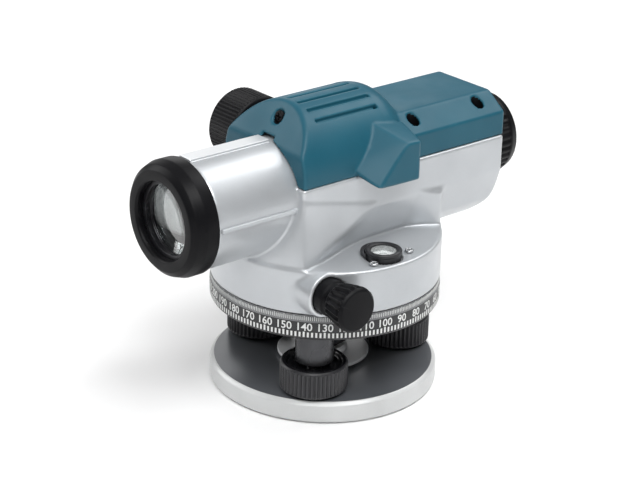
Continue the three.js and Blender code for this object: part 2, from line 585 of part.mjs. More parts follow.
function eyepiece(axis) {
  part('eyepiece_barrel', turned([
    [6.4, 80.5], [9.2, 80.5], [9.2, 91.8], [18, 91.8], [18, 92.7], [16.4, 92.7], [16.4, 106], [13, 106],
    [13, 93.6], [7.6, 93.6], [7.6, 84], [6.4, 84],
  ], 'x', FINE), blackMetal, axis);
  part('reticle_glass', rod(7.3, 84.3, 85.7, 'x', FINE), glass, axis);
  part('reticle_retainer', ring(6, 7.3, 86, 88, 'x', FINE), brass, axis);
  part('eyepiece_cell', turned([
    [8.4, 95.2], [12.7, 95.2], [12.7, 107], [8.4, 107], [8.4, 105.7], [10, 105.7], [10, 96.6], [8.4, 96.6],
  ], 'x', FINE), blackMetal, axis);
  part('field_lens', lens(9.7, 98.6, 1.6, 0.4, 0.9), glass, axis);
  part('eye_lens', lens(9.7, 103.6, 1.6, 0.9, 0.5), glass, axis);
  const sleeve = turned([
    [17, 93.2], [21.6, 93.2], [22, 94.2], [22, 108], [20.8, 111.8], [17.5, REAR_X], [10.5, REAR_X],
    [9.4, 109.4], [17, 109.4],
  ], 'x');
  const grip = prism(ribbed(22.3, 21.7, 24), 95, 106, 'x').subtract(rod(20, 90, 110, 'x', ROUND));
  part('eyepiece_ring', sleeve.add(grip), blackRubber, axis);
}

// ---------- compensator ----------
function compensator(axis) {
  const cheeks = [1, -1].map((s) => box([14, 48], s > 0 ? [14.2, 16.4] : [-16.4, -14.2], [-18, 16]));
  const deck = box([14, 48], [-16.4, 16.4], [-18, -16]);
  const bridge = box([26, 38], [-16.4, 16.4], [13.6, 16]);
  const feet = box([16, 46], [-12, 12], [DRUM_TOP + 0.5 + GAP - OPTIC_Z, -16]);
  let frame = cheeks[0].add(cheeks[1]).add(deck).add(bridge).add(feet);
  for (const [name, x, lean] of [['front', 19.5, 1], ['rear', 43.5, -1]]) {
    for (const y of [[8.3, 15], [-15, -8.3]]) frame = frame.add(box([x - 4, x + 4], y, [-6, 6]));
    const section = [[-6.5, x - 4.5 * lean], [6.5, x + 4.5 * lean], [-6.5, x + 4.5 * lean]];
    part(`${name}_prism`, prism(lean > 0 ? section : section.reverse(), -8, 8, 'y'), glass, axis);
  }
  part('compensator_frame', frame, blackMetal, axis);
  const arms = [1, -1].map((s) => box([28, 36], s > 0 ? [8.6, 11] : [-11, -8.6], [-11, 8.4]));
  const yoke = box([28, 36], [-11, 11], [8, 9.8]);
  const weight = box([28, 36], [-11, 11], [-11, -8.4]);
  const piston = rod(3.6, -14, -10, 'z', 16).translate([32, 0, 0]);
  part('pendulum', arms[0].add(arms[1]).add(yoke).add(weight).add(piston), brass, axis);
  part('pendulum_prism', prism([[-7.6, 28], [-7.6, 36], [6.4, 32]], -8.2, 8.2, 'y'), glass, axis);
  part('damper_cup', ring(4.4, 6, -15.6, -11.6, 'z', FINE), blackMetal, axis, [32, 0, 0]);
  for (const [name, y] of [['left', -7], ['right', 7]]) {
    part(`suspension_ribbon_${name}`, box([31.85, 32.15], [y - 1.5, y + 1.5], [10.2, 13.2]), steel, axis);
  }
}

levellingBase();
turningParts();
body();
vial();
const sight = new THREE.Group();
sight.position.z = OPTIC_Z;
level.add(sight);
objective(sight);
focusing(sight);
eyepiece(sight);
compensator(sight);

// The origin is under the middle of the whole object, on the surface it stands on.
const bounds = new THREE.Box3().setFromObject(level);
level.position.set(-(bounds.min.x + bounds.max.x) / 2, -(bounds.min.y + bounds.max.y) / 2, -bounds.min.z);

export default level;
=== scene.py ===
import json
from math import cos, hypot, pi, radians, sin, sqrt

import bmesh
import bpy
import numpy as np
from mathutils import Matrix, Vector


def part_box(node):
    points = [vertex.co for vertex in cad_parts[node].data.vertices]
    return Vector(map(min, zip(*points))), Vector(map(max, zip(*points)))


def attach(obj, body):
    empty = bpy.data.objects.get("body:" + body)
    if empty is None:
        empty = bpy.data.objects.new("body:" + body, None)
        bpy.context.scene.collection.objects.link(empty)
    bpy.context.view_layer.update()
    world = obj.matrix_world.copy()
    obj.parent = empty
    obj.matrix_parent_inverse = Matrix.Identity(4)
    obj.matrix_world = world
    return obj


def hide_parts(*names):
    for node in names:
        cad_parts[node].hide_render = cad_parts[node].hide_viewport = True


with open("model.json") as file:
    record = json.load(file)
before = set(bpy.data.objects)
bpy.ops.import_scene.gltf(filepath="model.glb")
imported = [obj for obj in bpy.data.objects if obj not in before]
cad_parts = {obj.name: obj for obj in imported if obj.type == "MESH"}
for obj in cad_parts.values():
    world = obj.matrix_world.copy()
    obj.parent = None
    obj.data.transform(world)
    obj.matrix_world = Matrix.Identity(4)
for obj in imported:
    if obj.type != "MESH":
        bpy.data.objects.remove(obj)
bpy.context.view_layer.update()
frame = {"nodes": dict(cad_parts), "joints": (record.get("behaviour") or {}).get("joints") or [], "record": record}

MM = 0.001
JOINTS = {j["name"]: j for j in frame["joints"]}
AXIS = np.array([JOINTS["alidade_turn"]["pos_m"][0], 0.0, 0.0])


def span(node):
    """Lowest and highest corner of a CAD node, in millimetres about the turning axis."""
    return [(np.array(corner) - AXIS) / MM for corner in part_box(node)]


def pivot(joint):
    return (np.array(JOINTS[joint]["pos_m"]) - AXIS) / MM


# ---------- driving dimensions, from the CAD frame ----------
PLATE_R = span("base_plate")[1][1]
PLATE_TOP = span("base_plate")[1][2]
CIRCLE_R = span("graduated_ring")[1][1]
CIRCLE_BOTTOM, CIRCLE_TOP = (corner[2] for corner in span("graduated_ring"))
DRUM_BOTTOM = span("main_housing")[0][2]
DRUM_R = span("main_housing")[1][1]
OPTIC_Z = pivot("eyepiece_turn")[2]
BODY_REAR = span("main_housing")[1][0]
FRONT_X = span("objective_ring")[0][0]
REAR_X = span("eyepiece_ring")[1][0]
DRIVE_X, _, DRIVE_Z = pivot("drive_turn")
PINION_X, _, PINION_Z = pivot("focus_turn")
SCREWS = [pivot(f"screw_{i}_turn")[:2] for i in (1, 2, 3)]
VIAL_X, VIAL_Y = sum(span("vial_ring"))[:2] / 2

# ---------- further dimensions, in millimetres ----------
SEAM_Z = 118.4             # where the cover meets the housing
DRUM_TOP = 80.5
WALL = 3.0
BEARING_R = 10.3           # of the bore for the bearing bush
BUSH_R = 9.1               # of the two drive bushes
DRIVE_BOSS_R, DRIVE_BOSS_Y = 11.2, 45.5
SIGHT_HIGH = 1.4
TUBE_R, TUBE_BORE_R = 27.5, 24.0
BODY_FRONT, BODY_HALF = -41.0, 31.0
BELLY_R, BELLY_Z = 32.3, 102.6
CREASE_Z = 100.0
FLANK_LEAN = radians(17)
STERN_R = 24.0
FRONT_WEB_REACH = radians(39.4)    # half of the drum's wall that the web meets
REAR_WEB_REACH = radians(34.8)
COVER_BOTTOM, COVER_WALL = SEAM_Z + 0.3, 2.5
DOME_Z, DOME_END = 121.3, 16.0
ROOF_Z, ROOF_HALF = 139.6, 18.5
EAVES_Z, EAVES_HALF = 131.0, 30.0
LEAN_Z, LEAN = 134.0, 0.75         # where the vault's front starts to lean back, and how much
HOOD_Y = -43.0
COVER_SCREWS = [(35, -22.5), (79, -22.5), (35, 22.5), (79, 22.5)]
FRONT_SCREW_Z = 145
SCREW_BORE_R, COUNTERBORE_R = 1.9, 3.3
PLATE_HOLE_R = 7.4
STEM_R, STEM_TOP, THREAD_TOP, BALL_R = 3.6, 50.5, 49.4, 4.5    # of the levelling screws
CIRCLE_BORE_R, CIRCLE_WALL_TOP = 50.4, 54.2


# ---------- camera and light ----------
def camera():
    target = Vector((-0.0029, 0.0075, 0.0697))
    azimuth, elevation, roll = radians(-40.56), radians(23.04), radians(1.5)
    distance, lens = 0.984, 109.4
    back = Vector((sin(azimuth) * cos(elevation), -cos(azimuth) * cos(elevation), sin(elevation)))
    data = bpy.data.cameras.new("camera")
    data.sensor_width = 36
    data.lens = lens
    made = bpy.data.objects.new("camera", data)
    bpy.context.scene.collection.objects.link(made)
    turn = (-back).to_track_quat("-Z", "Y").to_matrix().to_4x4() @ Matrix.Rotation(roll, 4, "Z")
    made.matrix_world = Matrix.Translation(target + back * distance) @ turn
    bpy.context.scene.camera = made


def softbox(name, azimuth, elevation, power):
    """A square light turned towards the object, at angles in degrees."""
    distance, size, aim = 1.5, 0.8, Vector((0, 0, 0.08))
    a, e = radians(azimuth), radians(elevation)
    data = bpy.data.lights.new(name, "AREA")
    data.shape = "RECTANGLE"
    data.size = data.size_y = size
    data.energy = power
    made = bpy.data.objects.new(name, data)
    bpy.context.scene.collection.objects.link(made)
    made.location = aim + Vector((cos(a) * cos(e), sin(a) * cos(e), sin(e))) * distance
    made.rotation_euler = (aim - made.location).to_track_quat("-Z", "Y").to_euler()


def studio():
    """Five softboxes, one very wide sun, and a dim surround that is darker below the horizon."""
    scene = bpy.context.scene
    scene.view_settings.view_transform = "Standard"
    world = bpy.data.worlds.new("studio")
    scene.world = world
    world.use_nodes = True
    nodes, links = world.node_tree.nodes, world.node_tree.links
    split = nodes.new("ShaderNodeSeparateXYZ")
    fade = nodes.new("ShaderNodeMapRange")
    for socket, value in (("From Min", -0.1), ("From Max", 0.7), ("To Min", 0.10), ("To Max", 0.12)):
        fade.inputs[socket].default_value = value
    links.new(nodes.new("ShaderNodeTexCoord").outputs["Generated"], split.inputs["Vector"])
    links.new(split.outputs["Z"], fade.inputs["Value"])
    links.new(fade.outputs["Result"], nodes["Background"].inputs["Strength"])
    nodes["Background"].inputs["Color"].default_value = (1, 1, 1, 1)
    softbox("front", -90, 60, 12)
    softbox("front_left", -135, 45, 10)
    softbox("high_right", 0, 50, 8)
    softbox("back_left", 120, 25, 8)
    softbox("back_right", 60, 20, 2.5)
    sky = bpy.data.lights.new("sky", "SUN")
    sky.energy, sky.angle = 0.7, radians(100)
    scene.collection.objects.link(bpy.data.objects.new("sky", sky))


def floor():
    bpy.ops.mesh.primitive_plane_add(size=40, location=(0, 0, -0.0005))
    ground = bpy.context.object
    ground.name = "floor"
    ground.data.materials.append(floor_paint())


# ---------- material nodes ----------
class Shader:
    """A Principled material whose colour, roughness and normal come from procedural nodes."""

    def __init__(self, name, **sockets):
        self.material = bpy.data.materials.new(name)
        self.material.use_nodes = True
        self.tree = self.material.node_tree
        self.bsdf = self.tree.nodes["Principled BSDF"]
        self.place = self.tree.nodes.new("ShaderNodeTexCoord").outputs["Object"]
        self.normal = None
        for socket, value in sockets.items():
            self.bsdf.inputs[socket.replace("_", " ")].default_value = value

    def node(self, kind, **settings):
        made = self.tree.nodes.new(kind)
        for key, value in settings.items():
            setattr(made, key, value)
        return made

    def link(self, source, target):
        self.tree.links.new(source, target)

    def noise(self, scale, detail, stretch=(1, 1, 1)):
        mapping = self.node("ShaderNodeMapping")
        mapping.inputs["Scale"].default_value = stretch
        self.link(self.place, mapping.inputs["Vector"])
        made = self.node("ShaderNodeTexNoise")
        made.inputs["Scale"].default_value = scale
        made.inputs["Detail"].default_value = detail
        self.link(mapping.outputs["Vector"], made.inputs["Vector"])
        return made.outputs["Fac"]

    def turning(self):
        """Fine rings about Z, as a lathe tool leaves them."""
        return self.noise(1125, 3, (0.02, 0.02, 8.0))

    def ramp(self, source, low, high, start=0.3, end=0.7):
        made = self.node("ShaderNodeMapRange")
        for socket, value in zip(("From Min", "From Max", "To Min", "To Max"), (start, end, low, high)):
            made.inputs[socket].default_value = value
        self.link(source, made.inputs["Value"])
        return made.outputs["Result"]

    def edges(self):
        """One on convex edges, where a finish wears, and where black plastic gets a painted highlight."""
        return self.ramp(self.node("ShaderNodeNewGeometry").outputs["Pointiness"], 0, 1, 0.52, 0.62)

    def blend(self, factor, first, second):
        made = self.node("ShaderNodeMix", data_type="RGBA")
        self.link(factor, made.inputs["Factor"])
        for socket, value in ((made.inputs["A"], first), (made.inputs["B"], second)):
            if isinstance(value, bpy.types.NodeSocket):
                self.link(value, socket)
            else:
                socket.default_value = (*value, 1)
        return made.outputs["Result"]

    def colour(self, source):
        self.link(source, self.bsdf.inputs["Base Color"])

    def roughness(self, source):
        self.link(source, self.bsdf.inputs["Roughness"])

    def bump(self, height, depth):
        made = self.node("ShaderNodeBump")
        made.inputs["Strength"].default_value = 1.0
        made.inputs["Distance"].default_value = depth
        self.link(height, made.inputs["Height"])
        if self.normal:
            self.link(self.normal, made.inputs["Normal"])
        self.normal = made.outputs["Normal"]
        self.link(self.normal, self.bsdf.inputs["Normal"])


def finish_of(name, low, high, rough, grain, depth, worn=None, flake=0.5, wear=0.6, **sockets):
    """A finish that varies slowly between two colours, with a fine grain and lighter convex edges: wear, and on
    black plastic also a painted highlight.

    rough is the lowest and highest roughness, grain the fine noise's scale, and depth its height in
    metres. flake and the edge amount are how far the grain and the lighter edges change the colour.
    """
    s = Shader(name, **sockets)
    tone = s.blend(s.ramp(s.noise(35, 5), 0, 1), low, high)
    speck = s.ramp(s.noise(grain, 2), 0, flake, 0.45, 0.75)
    tone = s.blend(speck, tone, high)
    # Convex edges turn lighter: wear, and on black plastic a painted highlight along the rib tops.
    if worn:
        tone = s.blend(s.ramp(s.edges(), 0, wear, 0, 1), tone, worn)
    s.colour(tone)
    s.roughness(s.ramp(s.noise(60, 6), *rough))
    s.bump(s.noise(grain, 3), depth)
    return s


def silver_paint():
    s = finish_of("silver_paint", (0.445, 0.465, 0.485), (0.51, 0.53, 0.55), (0.30, 0.40), 3200,
                  1e-5, worn=(0.80, 0.81, 0.82), Metallic=0.45, Coat_Weight=0.25, Coat_Roughness=0.2)
    s.bump(s.noise(420, 2), 2e-5)
    return s.material


def blue_plastic():
    s = finish_of("blue_plastic", (0.009, 0.078, 0.118), (0.013, 0.094, 0.138), (0.36, 0.48), 2400,
                  2e-5, worn=(0.06, 0.22, 0.29), wear=0.45, Specular_IOR_Level=0.28)
    s.bump(s.noise(900, 2), 2e-5)
    return s.material


def steel():
    s = finish_of("steel", (0.50, 0.51, 0.52), (0.66, 0.67, 0.68), (0.2, 0.36), 1500, 1e-5,
                  worn=(0.8, 0.8, 0.81), Metallic=1.0)
    s.bump(s.turning(), 1e-5)
    return s.material


def zinc():
    s = finish_of("zinc", (0.82, 0.83, 0.84), (0.90, 0.91, 0.92), (0.34, 0.48), 1500, 6e-6,
                  worn=(0.95, 0.95, 0.95), Metallic=0.15)
    s.bump(s.turning(), 6e-6)
    return s.material


def polished(name, low, high, patch, smear, rough, **sockets):
    """A smooth material; patch and smear are the noise scale and detail of its colour and roughness."""
    s = Shader(name, **sockets)
    s.colour(s.blend(s.ramp(s.noise(*patch), 0, 1), low, high))
    s.roughness(s.ramp(s.noise(*smear), *rough))
    return s.material


def glass(name, index):
    return polished(name, (0.90, 0.95, 0.95), (0.96, 0.98, 0.98), (25, 3), (80, 5), (0.0, 0.04),
                    Transmission_Weight=1.0, IOR=index, Specular_IOR_Level=0.6, Coat_Weight=0.6,
                    Coat_Roughness=0.02)


def floor_paint():
    return polished("floor_paint", (0.90, 0.90, 0.90), (0.93, 0.93, 0.93), (2, 3), (8, 3), (0.5, 0.6),
                    Specular_IOR_Level=0.3)


# Two colours, roughness, grain and its depth, then what differs from a plain finish.
FINISHES = {
    "white_paint": ((0.54, 0.55, 0.55), (0.63, 0.64, 0.64), (0.28, 0.42), 2600, 1e-5, dict(
        worn=(0.9, 0.9, 0.9), Metallic=0.1, Coat_Weight=0.2, Coat_Roughness=0.2)),
    "plate_paint": ((0.105, 0.112, 0.123), (0.13, 0.138, 0.15), (0.30, 0.36), 900, 1e-6, dict(
        flake=0.1, Metallic=0.3, Coat_Weight=0.25, Coat_Roughness=0.2)),
    # Black plastic's lighter edges are wear, and also a painted highlight on the levelling knobs' ribs.
    "black_plastic": ((0.014, 0.014, 0.016), (0.026, 0.026, 0.029), (0.30, 0.42), 2200, 1e-5, dict(
        worn=(0.14, 0.14, 0.15), Specular_IOR_Level=0.4)),
    "black_rubber": ((0.003, 0.003, 0.004), (0.007, 0.007, 0.008), (0.32, 0.44), 1800, 1e-5, dict(
        worn=(0.028, 0.028, 0.030), wear=0.4, Specular_IOR_Level=0.11)),
    "black_gloss": ((0.005, 0.005, 0.006), (0.010, 0.010, 0.012), (0.10, 0.18), 1800, 4e-6, dict(
        flake=0.2, Specular_IOR_Level=0.4, Coat_Weight=0.3, Coat_Roughness=0.1)),
    "circle_paint": ((0.010, 0.010, 0.011), (0.018, 0.018, 0.02), (0.3, 0.42), 2600, 1e-5, dict(
        worn=(0.07, 0.07, 0.07))),
    "mark_paint": ((0.62, 0.63, 0.62), (0.78, 0.79, 0.78), (0.45, 0.6), 3000, 1e-5, {}),
    "bevel_paint": ((0.14, 0.145, 0.15), (0.19, 0.195, 0.20), (0.35, 0.5), 2600, 1e-5, {}),
    "black_metal": ((0.012, 0.012, 0.014), (0.028, 0.028, 0.032), (0.22, 0.36), 2600, 1e-5, dict(
        worn=(0.1, 0.1, 0.11), Metallic=0.5)),
    "casting_paint": ((0.045, 0.046, 0.050), (0.070, 0.071, 0.076), (0.24, 0.34), 2200, 6e-6, dict(
        worn=(0.16, 0.16, 0.17), wear=0.4, Metallic=0.6)),
    "brass": ((0.55, 0.40, 0.17), (0.72, 0.55, 0.26), (0.22, 0.4), 1500, 1e-5, dict(
        worn=(0.85, 0.7, 0.4), Metallic=1.0)),
    "vial_floor": ((0.78, 0.80, 0.79), (0.86, 0.88, 0.87), (0.25, 0.35), 1500, 1e-5, {}),
}
PAINTS = {name: finish_of(name, *row[:5], **row[5]).material for name, row in FINISHES.items()}
PAINTS |= {
    "silver_paint": silver_paint(), "blue_plastic": blue_plastic(), "steel": steel(), "zinc": zinc(),
    "circle_black": PAINTS["circle_paint"], "glass": glass("glass", 1.52),
    "coated_glass": glass("coated_glass", 1.8),
    "mirror": polished("mirror", (0.84, 0.86, 0.87), (0.9, 0.92, 0.93), (30, 3), (120, 5), (0.02, 0.08),
                       Metallic=1.0),
    "clear_cover": polished("clear_cover", (0.86, 0.90, 0.90), (0.92, 0.95, 0.95), (60, 3), (150, 5),
                            (0.03, 0.08), Alpha=0.22, Specular_IOR_Level=0.7, Coat_Weight=0.3),
}


# ---------- distance fields: p is the list of the x, y and z arrays ----------
def smooth_min(a, b, k):
    h = np.clip(0.5 + 0.5 * (b - a) / k, 0, 1)
    return b + (a - b) * h - k * h * (1 - h)


def smooth_max(a, b, k):
    return -smooth_min(-a, -b, k)


def carve(solid, *cuts, k=0.6):
    for cut in cuts:
        solid = smooth_max(solid, -cut, k)
    return solid


def slab(v, low, high):
    return np.abs(v - (low + high) / 2) - (high - low) / 2


def block(p, x, y, z, r=0.6):
    q = [slab(p[i], *ends) + r for i, ends in enumerate((x, y, z))]
    outside = np.sqrt(sum(np.maximum(v, 0) ** 2 for v in q))
    return outside + np.minimum(np.maximum(np.maximum(q[0], q[1]), q[2]), 0) - r


def disc(p, axis, centre, radius, low, high, r=0.6):
    """A round bar along an axis; centre is given along the next two axes."""
    u, v = (axis + 1) % 3, (axis + 2) % 3
    radial = np.hypot(p[u] - centre[0], p[v] - centre[1]) - radius + r
    along = slab(p[axis], low, high) + r
    outside = np.hypot(np.maximum(radial, 0), np.maximum(along, 0))
    return outside + np.minimum(np.maximum(radial, along), 0) - r


def planes_of(points):
    """The outward planes of the convex hull of some points, one for each direction."""
    bm = bmesh.new()
    for point in points:
        bm.verts.new(point)
    bmesh.ops.convex_hull(bm, input=bm.verts)
    middle = np.mean(np.array(points, float), 0)
    found = []
    for face in bm.faces:
        n = np.array(face.normal)
        offset = float(n @ np.array(face.verts[0].co))
        if n @ middle > offset:
            n, offset = -n, -offset
        if not any(np.allclose(n, m, atol=0.01) and abs(offset - o) < 0.05 for m, o in found):
            found.append((n, offset))
    bm.free()
    return found


def polytope(p, planes, k):
    solid = None
    for n, offset in planes:
        plane = p[0] * n[0] + p[1] * n[1] + p[2] * n[2] - offset
        solid = plane if solid is None else smooth_max(solid, plane, k)
    return solid


def crossings(value, axis):
    """Where grid edges along an axis cross the surface, with the next two axes in turn."""
    turned = np.moveaxis(value, (axis, (axis + 1) % 3, (axis + 2) % 3), (0, 1, 2))
    a, b = turned[:-1], turned[1:]
    crossing = (a < 0) != (b < 0)
    share = np.where(crossing, a / np.where(crossing, a - b, 1), 0)
    return crossing, share, a < 0


def net(value):
    """One vertex in each grid cell that the zero level crosses, and a quad on each crossed edge."""
    cells = np.array(value.shape) - 1
    total = np.zeros((*cells, 3), np.float32)
    count = np.zeros(cells, np.float32)
    for axis in range(3):
        order = (axis, (axis + 1) % 3, (axis + 2) % 3)
        crossing, share, _ = crossings(value, axis)
        view, tally = np.moveaxis(total, order, (0, 1, 2)), np.moveaxis(count, order, (0, 1, 2))
        _, nu, nv = tally.shape
        for du in (0, 1):
            for dv in (0, 1):
                hit = crossing[:, du:du + nu, dv:dv + nv]
                view[..., order[0]] += share[:, du:du + nu, dv:dv + nv]
                view[..., order[1]] += du * hit
                view[..., order[2]] += dv * hit
                tally += hit
    active = count > 0
    index = np.full(cells, -1)
    index[active] = np.arange(active.sum())
    points = np.argwhere(active) + total[active] / count[active][:, None]
    quads = []
    for axis in range(3):
        crossing, _, below = crossings(value, axis)
        ids = np.moveaxis(index, (axis, (axis + 1) % 3, (axis + 2) % 3), (0, 1, 2))
        hit = crossing[:, 1:-1, 1:-1]
        around = np.stack([ids[:, :-1, :-1], ids[:, 1:, :-1], ids[:, 1:, 1:], ids[:, :-1, 1:]], -1)[hit]
        outward = below[:, 1:-1, 1:-1][hit]
        quads.append(np.where(outward[:, None], around, around[:, ::-1]))
    return points, np.concatenate(quads)


def surface(field, low, high, step):
    """The zero level of a field as quads, with each vertex drawn onto the surface along its slope."""
    axes = [np.arange(a - 2 * step, b + 3 * step, step, dtype=np.float32) for a, b in zip(low, high)]
    points, quads = net(field(np.meshgrid(*axes, indexing="ij")))
    points = points * step + np.array([a[0] for a in axes])
    start = points.copy()
    reach = 0.05 * step
    for _ in range(4):
        slope = np.stack([
            field((points + reach * e).T) - field((points - reach * e).T) for e in np.eye(3)
        ], -1) / (2 * reach)
        size = np.maximum((slope ** 2).sum(-1, keepdims=True), 0.2)
        points = points - field(points.T)[:, None] * slope / size
        points = start + np.clip(points - start, -0.6 * step, 0.6 * step)
    return points, quads


# ---------- meshes ----------
def make(name, points, faces, paint, body, slot, replaces=(), sharp=32):
    """A piece in place: points in millimetres about the turning axis become metres in the CAD frame.

    Edges steeper than sharp degrees stay sharp, and 0 leaves the whole piece smooth.
    """
    mesh = bpy.data.meshes.new(name)
    corners = (np.asarray(points, float) * MM + AXIS).tolist()
    mesh.from_pydata(corners, [], [list(map(int, face)) for face in faces])
    mesh.update()
    mesh.shade_smooth()
    if sharp:
        mesh.set_sharp_from_angle(angle=radians(sharp))
    mesh.materials.append(paint)
    piece = bpy.data.objects.new(name, mesh)
    bpy.context.scene.collection.objects.link(piece)
    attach(piece, body)
    if replaces:
        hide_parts(*replaces)
    return piece


def second_paint(piece, paint, test):
    """Faces whose middle passes the test get another paint; the test is given millimetres."""
    piece.data.materials.append(paint)
    for face in piece.data.polygons:
        if test((np.array(face.center) - AXIS) / MM, face.normal):
            face.material_index = len(piece.data.materials) - 1


def soften(profile, radius):
    """Rounds the corners of a closed profile; a corner on the axis stays as it is."""
    rounded = []
    count = len(profile)
    for i, corner in enumerate(profile):
        here = np.array(corner, float)
        before = np.array(profile[i - 1], float)
        after = np.array(profile[(i + 1) % count], float)
        to_before, to_after = before - here, after - here
        lengths = [np.hypot(*v) for v in (to_before, to_after)]
        if here[0] < 1e-6 or min(lengths) < 1e-6:
            rounded.append(here)
            continue
        reach = min(radius, 0.45 * lengths[0], 0.45 * lengths[1])
        first, last = here + to_before * reach / lengths[0], here + to_after * reach / lengths[1]
        for t in np.linspace(0, 1, 4):
            rounded.append(first * (1 - t) ** 2 + 2 * here * t * (1 - t) + last * t ** 2)
    return rounded


def lathe(profile, segments=128, axis="z", centre=(0, 0, 0), flip=1, shape=None):
    """Turns a closed profile of (radius, height) about an axis.

    shape(radius, height, angle) can change the radius, for ribs or a thread, and flip -1 mirrors the
    piece along its axis.
    """
    rows, points = [], []
    for r, h in profile:
        if r < 1e-6:
            rows.append([len(points)])
            points.append((0, 0, h))
            continue
        rows.append(list(range(len(points), len(points) + segments)))
        for i in range(segments):
            a = 2 * pi * i / segments
            s = shape(r, h, a) if shape else r
            points.append((s * cos(a), s * sin(a), h))
    faces = []
    for j, row in enumerate(rows):
        other = rows[(j + 1) % len(rows)]
        if len(row) == 1 and len(other) == 1:
            continue
        for i in range(segments):
            n = (i + 1) % segments
            face = [row[i % len(row)], row[n % len(row)], other[n % len(other)], other[i % len(other)]]
            faces.append(list(dict.fromkeys(face)))
    points = np.array(points)
    area = sum(profile[i - 1][0] * profile[i][1] - profile[i][0] * profile[i - 1][1]
               for i in range(len(profile)))
    if area < 0:
        faces = [face[::-1] for face in faces]
    if axis == "x":
        points = points[:, [2, 0, 1]]
    if axis == "y":
        points = points[:, [1, 2, 0]]
    points[:, "xyz".index(axis)] *= flip
    if flip < 0:
        faces = [face[::-1] for face in faces]
    return points + np.array(centre, float), faces


# ---------- metal housing ----------
def drum_arc(reach, heights):
    """Points on the drum's wall to both sides of +X."""
    return [(DRUM_R * cos(a), DRUM_R * sin(a), z)
            for a in np.linspace(-reach, reach, 9) for z in heights]


def both_sides(corners):
    return [(x, y * side, z) for side in (1, -1) for x, y, z in corners]


def front_web():
    """The web between the body and the front of the drum, flush with the drum's wall."""
    cheek = [(-x, y, z) for x, y, z in drum_arc(FRONT_WEB_REACH, (DRUM_TOP - 2, DRUM_TOP + 1.5))]
    return planes_of(cheek + both_sides([
        (5, 21, DRUM_TOP - 2), (BODY_FRONT, BODY_HALF, 112), (5, BODY_HALF, 101), (-46.5, 30.5, 99)]))


def rear_web():
    """The web under the rear of the body, flush with the back of the drum."""
    wall = drum_arc(REAR_WEB_REACH, (DRUM_TOP - 2, 99))
    return planes_of(wall + both_sides([(32, 22, DRUM_TOP - 2), (36, 30.5, 100)]))


FRONT_WEB = front_web()
REAR_WEB = rear_web()


def along_tube(p, radius, low, high):
    """A round bar about the line of sight."""
    return disc(p, 0, (0, OPTIC_Z), radius, low, high)


def upright(p, radius, low, high, centre=(0, 0)):
    """A round upright bar, about the turning axis unless it has another centre."""
    return disc(p, 2, centre, radius, low, high)


def trough(p, inset=0.0):
    """The telescope's body: sides that lean in below a crease, over a round belly."""
    x, y, z = p
    side = np.abs(y) - BODY_HALF + inset
    belly = np.hypot(y, np.minimum(z - BELLY_Z, 0)) - BELLY_R + inset
    flank = side * cos(FLANK_LEAN) - (z - CREASE_Z) * sin(FLANK_LEAN)
    section = smooth_max(smooth_max(side, belly, 1.0), flank, 0.4)
    past_x = np.maximum(x - (BODY_REAR - STERN_R), 0)
    below_z = np.minimum(z - (BELLY_Z - BELLY_R) - STERN_R, 0)
    stern = np.hypot(past_x, below_z) - STERN_R + inset
    ends = smooth_max(stern, slab(x, BODY_FRONT, BODY_REAR) + inset, 1.5)
    return smooth_max(section, ends, 2.0)


def housing_field(p):
    x, _, z = p
    solid = smooth_max(trough(p), z - SEAM_Z, 0.8)
    solid = smooth_min(solid, polytope(p, FRONT_WEB, 1.5), 2.4)
    solid = smooth_min(solid, polytope(p, REAR_WEB, 2.0), 4.0)
    solid = smooth_min(solid, disc(p, 2, (0, 0), DRUM_R, DRUM_BOTTOM, DRUM_TOP, 1.0), 1.8)
    inside = smooth_max(trough(p, WALL), DRUM_TOP + 0.5 - np.where(x > DRUM_R, 40, z), 0.8)
    solid = carve(solid, inside)
    tube = np.minimum(along_tube(p, TUBE_R, -88, -3), along_tube(p, TUBE_R - 0.9, -98, -85))
    solid = smooth_min(solid, tube, 1.4)
    for ends in ((-DRIVE_BOSS_Y, -20), (20, DRIVE_BOSS_Y)):
        boss = disc(p, 1, (DRIVE_Z, DRIVE_X), DRIVE_BOSS_R, *ends, 0.8)
        solid = smooth_min(solid, boss, 1.6)
    front_post = block(p, (-24, -17), (-5, 5), (OPTIC_Z + 25.5, 148.5))
    solid = smooth_min(solid, front_post, 0.6)
    for a, b in COVER_SCREWS:
        post = upright(p, 5.6, 96, SEAM_Z, (a, b))
        wall = np.sign(b) * 29
        web = block(p, (a - 4, a + 4), (min(b, wall), max(b, wall)), (96, SEAM_Z))
        pilot = upright(p, SCREW_BORE_R, 106, 125, (a, b))
        solid = carve(smooth_min(solid, np.minimum(post, web), 1.0), pilot)
    bore = upright(p, BEARING_R, 60, 95)
    chamber = np.minimum(upright(p, DRUM_R - WALL - 0.5, 40, DRUM_TOP - WALL), bore)
    chamber = carve(chamber, upright(p, 15, 73.4, 90))
    bearing = np.minimum(upright(p, BEARING_R, 60, 86), upright(p, 12.4, DRUM_TOP + 0.5, 86))
    drive = disc(p, 1, (DRIVE_Z, DRIVE_X), BUSH_R + 0.2, -70, 70)
    drive = carve(drive, block(p, (-60, 0), (-26, 26), (0, 100)))
    objective_bore = along_tube(p, TUBE_BORE_R, -120, -2)
    eyepiece_bore = along_tube(p, 9.5, 80, 120)
    pinion_bore = disc(p, 1, (PINION_Z, PINION_X), 6, 0, 60)
    front_screw_bore = disc(p, 0, (0, FRONT_SCREW_Z), SCREW_BORE_R, -40, -10)
    vial_recess = upright(p, 9.4, 78.8, 86, (VIAL_X, VIAL_Y))
    return carve(solid, objective_bore, chamber, bearing, drive, eyepiece_bore, pinion_bore,
                 front_screw_bore, vial_recess, k=0.4)


